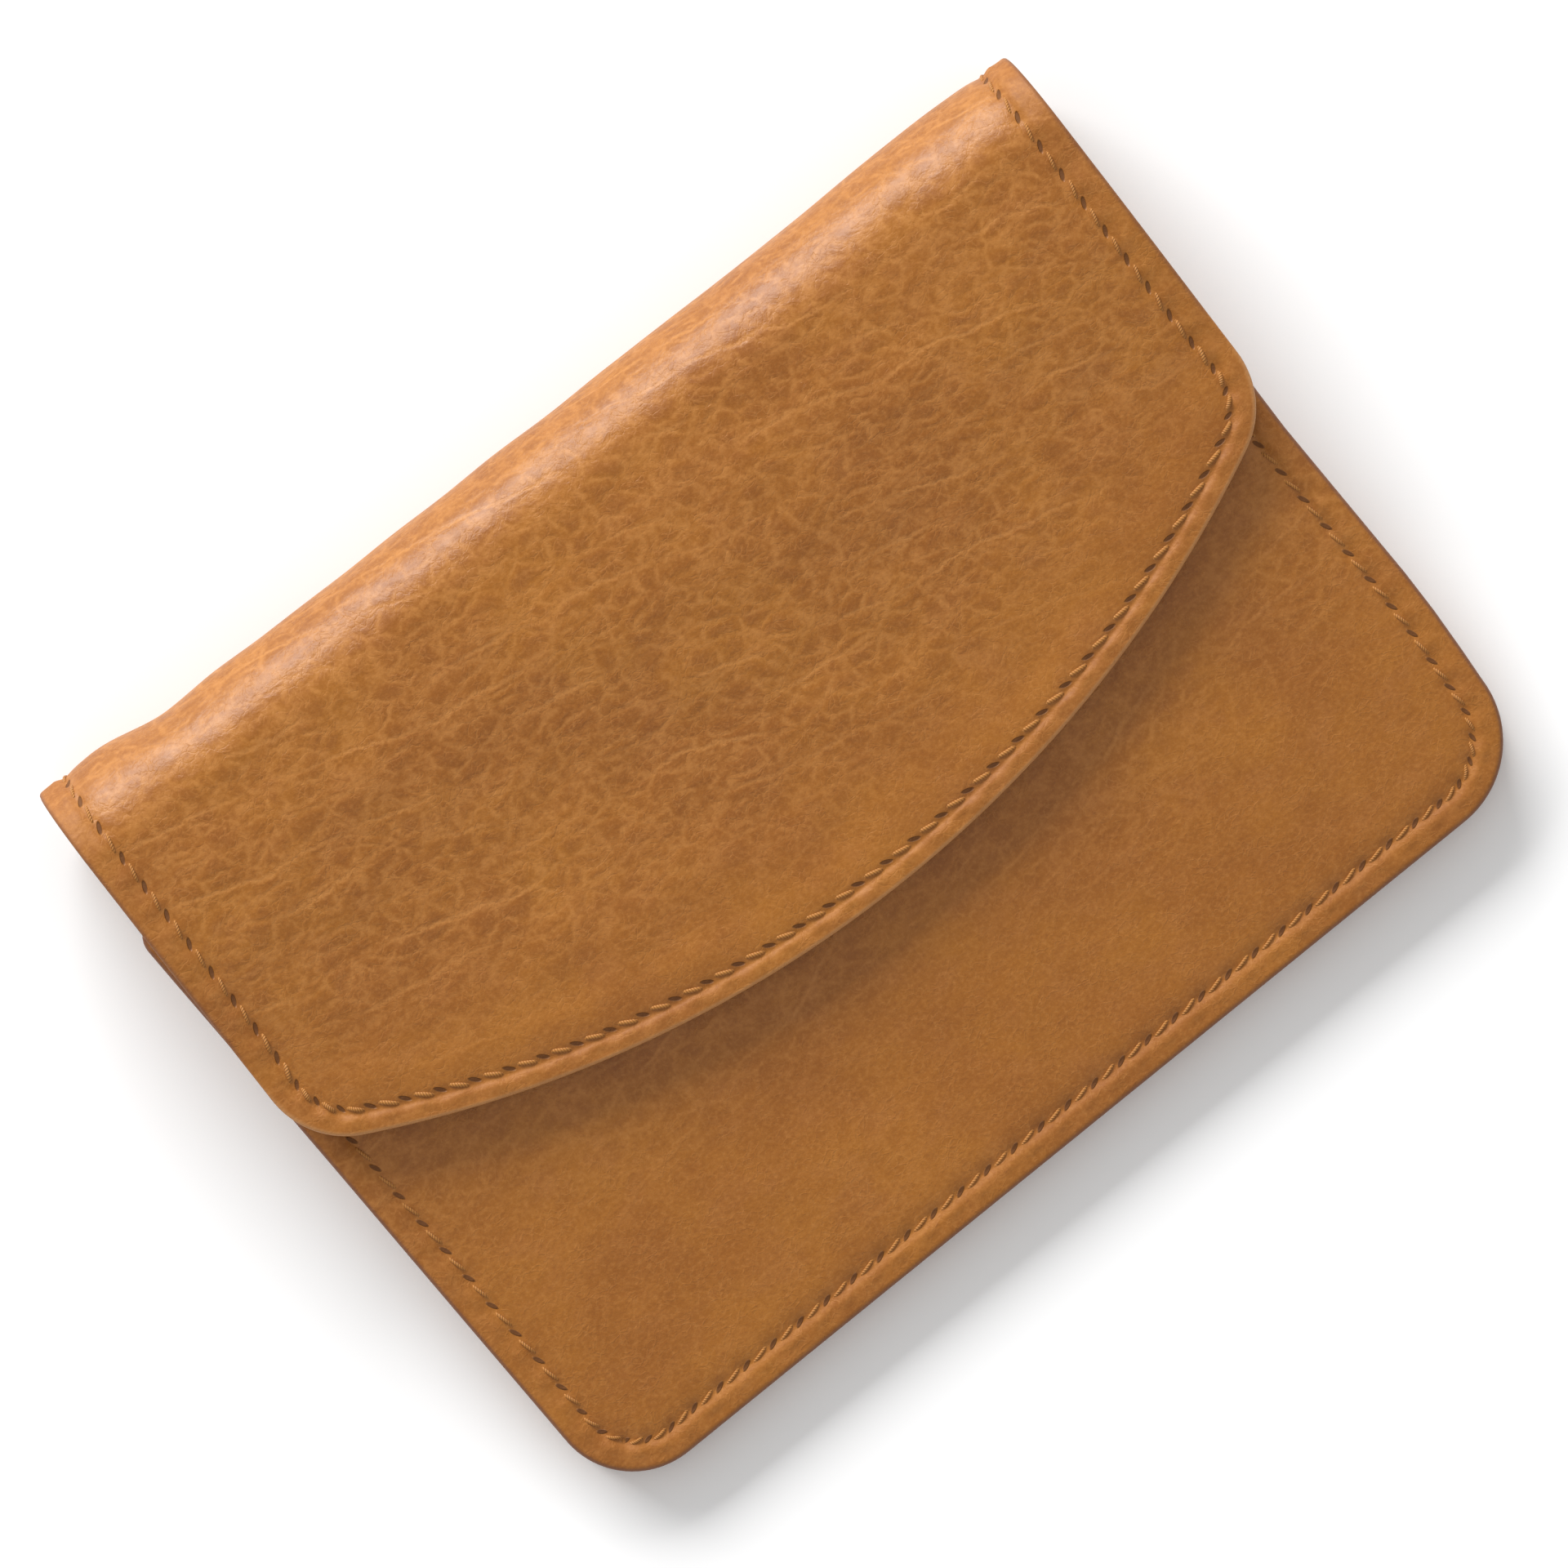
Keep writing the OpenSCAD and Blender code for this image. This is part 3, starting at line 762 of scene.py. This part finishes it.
def needle_holes(n, seam_u, inset):
    """1 inside each needle slit: leaning ellipses, one for each stitch, on the sewing line. The colours paint
    the slits dark as painted shade inside the holes, and the bump sinks them.
    """
    lean, half_length, half_width = 0.42, 0.62, 0.21
    phase = n.math("SUBTRACT", n.math("FRACT", n.plus(seam_u, 0.5)), 0.5)
    along = n.times(phase, STITCH)
    across = n.math("SUBTRACT", inset, SIDE_SEAM)
    a = n.plus(n.times(along, math.cos(lean)), n.times(across, math.sin(lean)))
    b = n.math("SUBTRACT", n.times(across, math.cos(lean)), n.times(along, math.sin(lean)))
    a = n.math("POWER", n.math("ABSOLUTE", n.math("DIVIDE", a, half_length)), 2.0)
    b = n.math("POWER", n.math("ABSOLUTE", n.math("DIVIDE", b, half_width)), 2.0)
    return n.line(n.plus(a, b), 0.45, 1.15)


def lining_leather():
    n = Nodes("lining_leather")
    flat = n.attribute("flat")
    seam_u, inset, _ = n.parts(n.attribute("seam"))
    clouds = n.noise(flat, 0.12, 4.0, 0.6)
    nap = n.noise(n.stretched(flat, (2.0, 1.0, 1.0), 20), 2.6, 5.0, 0.75)
    fine = n.cells(n.noise_vector(flat, 1.5, 0.5), 2.6)
    colour = n.mix(n.ramp(clouds, 0.3, 0.7), (0.36, 0.185, 0.075, 1), (0.46, 0.255, 0.115, 1))
    colour = n.mix(n.times(n.ramp(nap, 0.35, 0.7), 0.35), colour, (0.55, 0.33, 0.165, 1))
    holes = needle_holes(n, seam_u, inset)
    # The needle slits are painted dark: painted shade inside the holes.
    colour = n.mix(n.times(holes, 0.8), colour, (0.09, 0.035, 0.014, 1))
    height = n.plus(n.times(nap, 0.8), n.times(n.ramp(fine, 0.0, 0.3), 0.5))
    height = n.plus(height, n.times(holes, -1.5))
    roughness = n.scaled(nap, 0.18, 0.66)
    return n.finish(colour, roughness, n.bump(height, 0.07, 0.8), 0.3, 0.25)


def thread():
    n = Nodes("thread")
    along, around, _ = n.parts(n.attribute("twist"))
    turn = n.plus(n.times(around, 1.6), along)
    strand = n.math("ABSOLUTE", n.math("SINE", n.times(turn, 2 * math.pi)))
    colour = n.mix(strand, (0.31, 0.11, 0.014, 1), (0.43, 0.18, 0.035, 1))
    return n.finish(colour, 0.5, n.bump(strand, 0.06, 0.8), 0.35, 0.1)


def board():
    n = Nodes("filler_board")
    place = n.add("ShaderNodeTexCoord").outputs["Object"]
    fibre = n.noise(n.stretched(place, (3.0, 1.0, 1.0), 12), 900.0, 5.0, 0.7)
    colour = n.mix(n.ramp(fibre, 0.3, 0.7), (0.42, 0.32, 0.2, 1), (0.62, 0.5, 0.35, 1))
    return n.finish(colour, 0.85, n.bump(fibre, 0.05), 0.2)


def nickel():
    n = Nodes("magnet")
    place = n.add("ShaderNodeTexCoord").outputs["Object"]
    wear = n.noise(place, 900.0, 4.0, 0.65)
    colour = n.mix(n.ramp(wear, 0.35, 0.7), (0.58, 0.57, 0.55, 1), (0.74, 0.73, 0.7, 1))
    n.shader.inputs["Metallic"].default_value = 1.0
    return n.finish(colour, n.scaled(wear, 0.25, 0.2), n.bump(wear, 0.01))


LEATHER_LOOK = outer_leather()
LINING_LOOK = lining_leather()
THREAD_LOOK = thread()
BOARD_LOOK = board()
NICKEL_LOOK = nickel()


# ---------------------------------------------------------------- back, fold and flap
def seam_inset(s):
    """Edge to seam: wider on the body and the fold, narrower round the flap's curved edge."""
    return SIDE_SEAM + (FLAP_SEAM - SIDE_SEAM) * smooth((s - (SHEET_END - 26)) / 16)


def flap_share(s):
    """0 on the back, 1 on the flap."""
    return np.clip((s - FOLD_RUN) / ARC_LENGTH, 0, 1)


def outer_depth(x, s, inset, along):
    """Depth of the outer face, measured inwards: edges roll down, seams dip, leather swells a little."""
    flap = flap_share(s)
    depth = rolled(inset, LEATHER_ROUND)
    dip = seam_dip(inset, along, seam_inset(s), SEAM_DEPTH)
    margin = scallops(inset, along) + 0.05 * pucker(x, s, inset, 17)
    depth = depth + np.where(inset < INSIDE, dip - margin, 0)
    swell = 0.11 * waves(x, s, 34, 5) + 0.045 * waves(x, s * 1.6, 11, 8)
    body = np.clip((inset - 2.8) / 2.2, 0, 1)
    depth += np.where(flap > 0, body * swell, 0)
    return np.where(flap > 0, depth, np.maximum(depth, 0.0))


def grain_share(x, s, inset):
    """How strongly the pebbled grain shows: most in the flap's middle, less towards its curved edge."""
    from_tip = SHEET_END - s - 0.0045 * x * x
    flap = np.clip((from_tip - 3) / 13, 0, 1)
    margin = 0.3 * np.clip((2.6 - inset) / 0.6, 0, 1)
    return np.maximum(0.12 + 0.88 * flap * np.clip((inset + 1) / 6, 0.45, 1), margin)


def pin_seam(layout, seam):
    """Moves the rings so that the sewing line lies at its own inset everywhere."""
    ring = layout.inset < INSIDE
    target = seam(layout.points[:, 1])
    shift = target - SIDE_SEAM
    weight = np.where(ring, np.interp(layout.inset, (0, 1.0, 2.2, 3.2, 5.0), (0, 0.35, 1, 1, 0)), 0)
    turn = np.tile(layout.direction, (len(RING_INSETS), 1))
    moved = layout.points.copy()
    moved[: len(turn)] += turn * (shift * weight)[: len(turn), None]
    layout.points = moved
    return layout


CUTS = [FOLD_RUN + NEUTRAL_R * HINGE_TURN * k for k in (1, 2, 3)]


def fold_point(angle):
    return (0, (FOLD_Y + NEUTRAL_R * math.sin(angle)) * MM, (FOLD_R - NEUTRAL_R * math.cos(angle)) * MM)


def bend(pieces):
    """Bakes each piece's placement into its mesh; the points of its hinge on the fold are worked out but not
    used.
    """
    for k, piece in enumerate(pieces):
        near, far = fold_point(HINGE_TURN * k), fold_point(HINGE_TURN * (k + 1))
        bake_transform(piece)
        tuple(near)
        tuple(far)


def sheet_rim(x, s, inset):
    """A pale line along the flap's cut edge and a dark one along the body's."""
    pale = np.clip((s - (SHEET_END - 24)) / 8, 0, 1)
    return np.clip((0.5 - inset) / 0.3, 0, 1) * (1.6 * pale - 0.6)


def recess(s, inset, start, end):
    """The hollow in the leather's underside that takes the filler."""
    return FILLER * np.clip((inset - 4.1) / 0.4, 0, 1) * np.clip(s - start, 0, 1) * np.clip(end - s, 0, 1)


def make_board():
    """The flap's filler, lying between its leather and its lining and bowed with them."""
    start = FLAP_START + 3
    outline = back_flap_outline(FILLER_INSET)
    outline = outline[outline[:, 1] > start + 1]
    corners = np.array([[-FLAP_LEFT + FILLER_INSET, start], [FLAP_RIGHT - FILLER_INSET, start]])
    layout = Layout(np.vstack([outline, corners]), pitch=0.9, insets=(0, 0.1, 0.4, 1.2))
    upper = lambda x, s, inset, along: LEATHER - FILLER + GLUE + rolled(inset, 0.05)
    under = lambda x, s, inset: LEATHER - rolled(inset, 0.05)
    bm = slab(layout, upper, under, no_grain)
    board = finish_mesh(lay(bm, lay_on_path), "flap_board", BOARD_LOOK)
    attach(board, "flap_body")
    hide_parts("flap_filler")


def make_outer():
    layout = pin_seam(Layout(back_flap_outline()), seam_inset)

    def under(x, s, inset):
        return LEATHER - rolled(inset, UNDER_ROUND) - recess(s, inset, FLAP_START + 2, SHEET_END)

    bm = slab(layout, outer_depth, under, grain_share, sheet_rim)
    names = ["back_leather", "fold_leather_1", "fold_leather_2", "flap_leather"]
    pieces = split_sheet(bm, CUTS, lay_on_path, names, LEATHER_LOOK)
    bend(pieces)
    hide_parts("back_panel")
    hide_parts("fold_lower")
    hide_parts("fold_middle")
    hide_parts("fold_upper", "flap")
    return layout


def make_lining():
    layout = pin_seam(Layout(back_flap_outline(LINING_INSET)), lambda s: seam_inset(s) - LINING_INSET)

    def inner_face(x, s, inset, along):
        depth = BACK_STACK - rolled(inset, 0.3)
        dip = seam_dip(inset, along, seam_inset(s) - LINING_INSET, LINING_SEAM_DEPTH)
        return depth - np.where(inset < INSIDE, dip, 0)

    def glued_face(x, s, inset):
        return LEATHER + GLUE + rolled(inset, 0.2)

    bm = slab(layout, inner_face, glued_face, no_grain)
    names = ["back_lining_sheet", "fold_lining_1", "fold_lining_2", "flap_lining_sheet"]
    pieces = split_sheet(bm, CUTS, lay_on_path, names, LINING_LOOK)
    bend(pieces)
    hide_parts("back_lining")
    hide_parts("fold_lower_lining")
    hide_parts("fold_middle_lining")
    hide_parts("fold_upper_lining", "flap_lining")


def seam_line(layout, seam):
    """Flat points of the sewing line for stitch numbers along the outline."""
    inset = seam(layout.loop[:, 1])
    points = layout.loop + layout.direction * inset[:, None]
    points = np.vstack([points, points[:1]])
    numbers = np.arange(len(points)) * layout.stitches / layout.count
    return lambda at: np.stack([np.interp(at % layout.stitches, numbers, points[:, k]) for k in (0, 1)], 1)


def make_edge_thread(layout):
    """The long seam round the back, over the fold and round the flap, on both of its faces."""
    line = seam_line(layout, seam_inset)
    outside = stitch_row(line, layout.stitches, THREAD_SINK, 11)
    inside = stitch_row(line, layout.stitches, THREAD_SINK, 12, slant=-0.2, proud=0.12)
    mirrored = [(flat, BACK_STACK - depth) for flat, depth in inside]
    limits = [-1e9, *CUTS, 1e9]
    names = ["back_thread", "fold_thread_1", "fold_thread_2", "flap_thread"]
    pieces = []
    for k, name in enumerate(names):
        keep = lambda s, k=k: limits[k] <= s < limits[k + 1]
        rows = outside + [row for row in mirrored if row[0][:, 1].mean() > FOLD_RUN - 6]
        pieces.append(thread_mesh(name, rows, lay_on_path, keep))
    bend(pieces)
    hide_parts("back_stitching")
    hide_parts("fold_lower_stitching")
    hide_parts("fold_middle_stitching")
    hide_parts("fold_upper_stitching", "flap_stitching")


# ---------------------------------------------------------------- front panel
FRONT_WINDOW = 11                     # its mouth corners are tight, so directions are evened out more


def front_swell(x, v):
    """The front panel isn't quite flat."""
    inside = np.clip((50 - np.abs(x)) / 10, 0, 1) * np.clip(v / 12, 0, 1) * np.clip((MOUTH_V - v) / 8, 0, 1)
    return inside * (0.07 * waves(x, v, 30, 21) + 0.03 * waves(x, v, 9, 23))


def make_front():
    layout = Layout(front_outline(), window=FRONT_WINDOW)

    def outer_face(x, v, inset, along):
        depth = rolled(inset, 0.55)
        dip = seam_dip(inset, along, SIDE_SEAM, SEAM_DEPTH)
        margin = scallops(inset, along) + 0.04 * pucker(x, v, inset, 18)
        return depth + np.where(inset < INSIDE, dip - margin, 0) - front_swell(x, v)

    place = lambda x, v, depth: lay_on_front(x, v, BACK_STACK - depth)
    under = lambda x, v, inset: LEATHER - rolled(inset, UNDER_ROUND) - recess(v, inset, 4, MOUTH_V - 4)
    look = lambda x, v, inset: 0.2 + 0.45 * smooth((v - 16) / 14) + 0.1 * waves(x, v, 26, 31)
    rim = lambda x, v, inset: -np.clip((0.45 - inset) / 0.3, 0, 1)
    bm = slab(layout, outer_face, under, look, rim)
    panel = finish_mesh(lay(bm, place), "front_leather", LEATHER_LOOK)
    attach(panel, "holder")
    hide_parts("front_panel")

    line = seam_line(layout, lambda v: np.full_like(v, SIDE_SEAM))
    rows = stitch_row(line, layout.stitches, THREAD_SINK, 14)
    top = MOUTH_V - 5
    around = thread_mesh("front_thread", rows, place, lambda v: v < top)
    across = thread_mesh("mouth_thread", rows, place, lambda v: v >= top)
    for piece, node in ((around, "front_stitching"), (across, "mouth_stitching")):
        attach(piece, "holder")
        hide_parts(node)

    inner = Layout(front_outline(LINING_INSET), window=FRONT_WINDOW)

    def inner_face(x, v, inset, along):
        dip = seam_dip(inset, along, SIDE_SEAM, LINING_SEAM_DEPTH)
        return rolled(inset, 0.3) + np.where(inset < INSIDE, dip, 0)

    glued = lambda x, v, inset: LINING - GLUE - rolled(inset, 0.2)
    bm = slab(inner, inner_face, glued, no_grain)
    sheet = finish_mesh(lay(bm, lay_on_front), "front_lining_sheet", LINING_LOOK)
    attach(sheet, "holder")
    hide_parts("front_lining")


# ---------------------------------------------------------------- card pockets
POCKET_T = 0.6
POCKET_SEAM = 1.0                     # edge to seam
POCKET_UNSEWN = 3.2                   # the seams stop this far below the pocket's mouth
POCKET_INSETS = (0, 0.06, 0.18, 0.36, 0.6, 0.8, 1.0, 1.2, 1.5, 2.0, 2.6)


def make_pocket(name, node, foot, mouth, base, seed):
    layout = Layout(pocket_outline(foot, mouth), insets=POCKET_INSETS, window=8)

    def upper(x, y, inset, along):
        crease = 0.09 * np.exp(-(((mouth - y - 2.0) / 0.22) ** 2))
        sewn_here = (mouth - y > POCKET_UNSEWN) & (inset < INSIDE)
        dip = np.where(sewn_here, seam_dip(inset, along, POCKET_SEAM, 0.1), 0)
        return base + POCKET_T - rolled(inset, 0.25) - dip - crease

    def sewn(y, inset):
        return np.where(mouth - y > POCKET_UNSEWN, inset + SIDE_SEAM - POCKET_SEAM, INSIDE)

    under = lambda x, y, inset: base + GLUE + rolled(inset, 0.15)
    bm = slab(layout, upper, under, no_grain, sewn=sewn)
    pocket = finish_mesh(lay(bm, lay_on_back), name, LINING_LOOK)
    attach(pocket, "holder")
    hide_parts(node)
    line = seam_line(layout, lambda y: np.full_like(y, POCKET_SEAM))
    place = lambda x, y, depth: lay_on_back(x, y, base + POCKET_T - depth)
    rows = stitch_row(line, layout.stitches, 0.08, seed, slant=0.12)
    return rows, place, mouth - 3


def make_pocket_thread(name, rows, place, top):
    sewing = thread_mesh(name, rows, place, lambda y: y < top)
    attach(sewing, "holder")
    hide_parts("pocket_stitching")


# ---------------------------------------------------------------- gussets
GUSSET_T = 0.5
GUSSET_BEND, GUSSET_FOLD = 49.0, 45.8


def gusset_profile(half, gap, count=9):
    """Half a gusset's middle line, from its border on the back to its inner fold: x and height."""
    run = GUSSET_BEND - GUSSET_FOLD
    t = np.linspace(0, 1, count)
    x = GUSSET_BEND - run * np.sin(t * math.pi / 2)
    z = gap / 2 * (1 - np.cos(t * math.pi / 2)) ** 0.9
    return np.concatenate([[half, (half + GUSSET_BEND) / 2], x]), np.concatenate([[0, 0], z])


def make_gusset(name, node, side):
    rows, length = 60, 54.7
    foot = 9.0
    middle_lines = []
    for k in range(rows + 1):
        v = foot + length * k / rows
        edge = -side_left(v) if side < 0 else side_right(v)
        space = v * math.tan(SLOPE) - GUSSET_T - 0.06
        x, z = gusset_profile(edge - 0.5, max(space, 0.45))
        ruffle = 0.12 * math.sin(v * 0.31 + side) * np.clip((GUSSET_BEND - x) / 3, 0, 1)
        full_x = np.concatenate([x + ruffle, (x + ruffle)[-2::-1]])
        full_z = np.concatenate([z, (max(space, 0.45) - z)[-2::-1]])
        height = full_z + GUSSET_T / 2 + 0.03
        middle_lines.append(np.stack([side * full_x, np.full(len(full_x), v), height], 1))
    lines = np.array(middle_lines)
    across = np.gradient(lines, axis=1)
    normal = np.stack([-across[..., 2], np.zeros_like(across[..., 0]), across[..., 0]], -1)
    normal /= np.linalg.norm(normal, axis=-1, keepdims=True)
    room = lines[..., 2].max(axis=1) - lines[..., 2].min(axis=1)
    half_t = np.minimum(GUSSET_T, (room[:, None] + GUSSET_T) / 2.1)[..., None] / 2
    outer, inner = lines + normal * half_t, lines - normal * half_t
    ring = np.concatenate([outer, inner[:, ::-1]], axis=1)
    size = ring.shape[1]
    points = lay_on_back(*ring.reshape(-1, 3).T) + [0, 0, BACK_STACK]
    faces = []
    for k in range(rows):
        for j in range(size):
            n = (j + 1) % size
            faces.append([k * size + j, k * size + n, (k + 1) * size + n, (k + 1) * size + j])
    half = size // 2
    for base in (0, rows * size):
        faces += [[base + j, base + j + 1, base + size - 2 - j, base + size - 1 - j] for j in range(half - 1)]
    mesh = bpy.data.meshes.new(name)
    mesh.from_pydata((points * MM).tolist(), [], faces)
    run = np.arange(size)[None, :] * 0.5 + np.zeros((rows + 1, 1))
    flat = np.stack([run.ravel() + 200 * side, ring[..., 1].ravel(), np.zeros(run.size)], 1)
    add_attribute(mesh, "flat", "FLOAT_VECTOR", flat)
    add_attribute(mesh, "seam", "FLOAT_VECTOR", np.tile([0.5, INSIDE, 0.6], (run.size, 1)))
    bm = bmesh.new()
    bm.from_mesh(mesh)
    bpy.data.meshes.remove(mesh)
    bmesh.ops.recalc_face_normals(bm, faces=bm.faces)
    piece = finish_mesh(bm, name, LEATHER_LOOK)
    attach(piece, "holder")
    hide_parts(node)


# ---------------------------------------------------------------- stage
def make_stage():
    mesh = bpy.data.meshes.new("floor")
    mesh.from_pydata([(-3, -3, 0), (3, -3, 0), (3, 3, 0), (-3, 3, 0)], [], [(0, 1, 2, 3)])
    n = Nodes("floor")
    n.finish((0.93, 0.93, 0.93, 1), 0.9, None, 0.1)
    floor = new_object("floor", mesh, n.material)
    floor.location.z = -0.0002

    world = bpy.data.worlds.new("studio")
    world.use_nodes = True
    world.node_tree.nodes["Background"].inputs["Color"].default_value = (1, 1, 1, 1)
    world.node_tree.nodes["Background"].inputs["Strength"].default_value = 0.64
    bpy.context.scene.world = world

    # A long soft light, low and far beyond the fold, which faces the card holder.
    light = bpy.data.lights.new("fold_light", "AREA")
    light.shape = "RECTANGLE"
    light.size, light.size_y = 2.4, 1.1
    light.energy = 122
    lamp = bpy.data.objects.new("fold_light", light)
    lamp.location = (0.15, 2.6, 1.32)
    lamp.rotation_euler = (-lamp.location).to_track_quat("-Z", "Y").to_euler()
    bpy.context.scene.collection.objects.link(lamp)


def make_camera():
    """Straight above, and turned so that the fold runs up to the right."""
    turn = math.radians(37.7)
    data = bpy.data.cameras.new("camera")
    data.clip_end = 10
    data.lens = 260
    data.sensor_width = 36
    camera = bpy.data.objects.new("camera", data)
    field = 0.134
    distance = field * data.lens / data.sensor_width
    shift_right, shift_up = 0.0012, -0.0002
    right = Vector((math.cos(turn), -math.sin(turn), 0))
    up = Vector((math.sin(turn), math.cos(turn), 0))
    centre = -right * shift_right - up * shift_up
    camera.location = (centre.x, centre.y, distance + 0.008)
    camera.rotation_euler = (0, 0, -turn)
    bpy.context.scene.collection.objects.link(camera)
    bpy.context.scene.camera = camera


make_board()
edge_layout = make_outer()
make_lining()
make_edge_thread(edge_layout)
make_front()
rear_seam = make_pocket("rear_pocket", "card_pocket_rear", 5.6, 53.0, BACK_STACK, 41)
front_seam = make_pocket("front_pocket", "card_pocket_front", 11.0, 43.0, BACK_STACK + POCKET_T, 42)
make_pocket_thread("rear_pocket_thread", *rear_seam)
make_pocket_thread("front_pocket_thread", *front_seam)
make_gusset("left_gusset", "gusset_left", -1)
make_gusset("right_gusset", "gusset_right", 1)

for node, look in (("front_filler", BOARD_LOOK), ("flap_magnet", NICKEL_LOOK), ("front_magnet", NICKEL_LOOK)):
    mesh = frame["nodes"][node].data
    mesh.materials.clear()
    mesh.materials.append(look)

make_stage()
make_camera()
bpy.context.scene.view_settings.view_transform = "Standard"
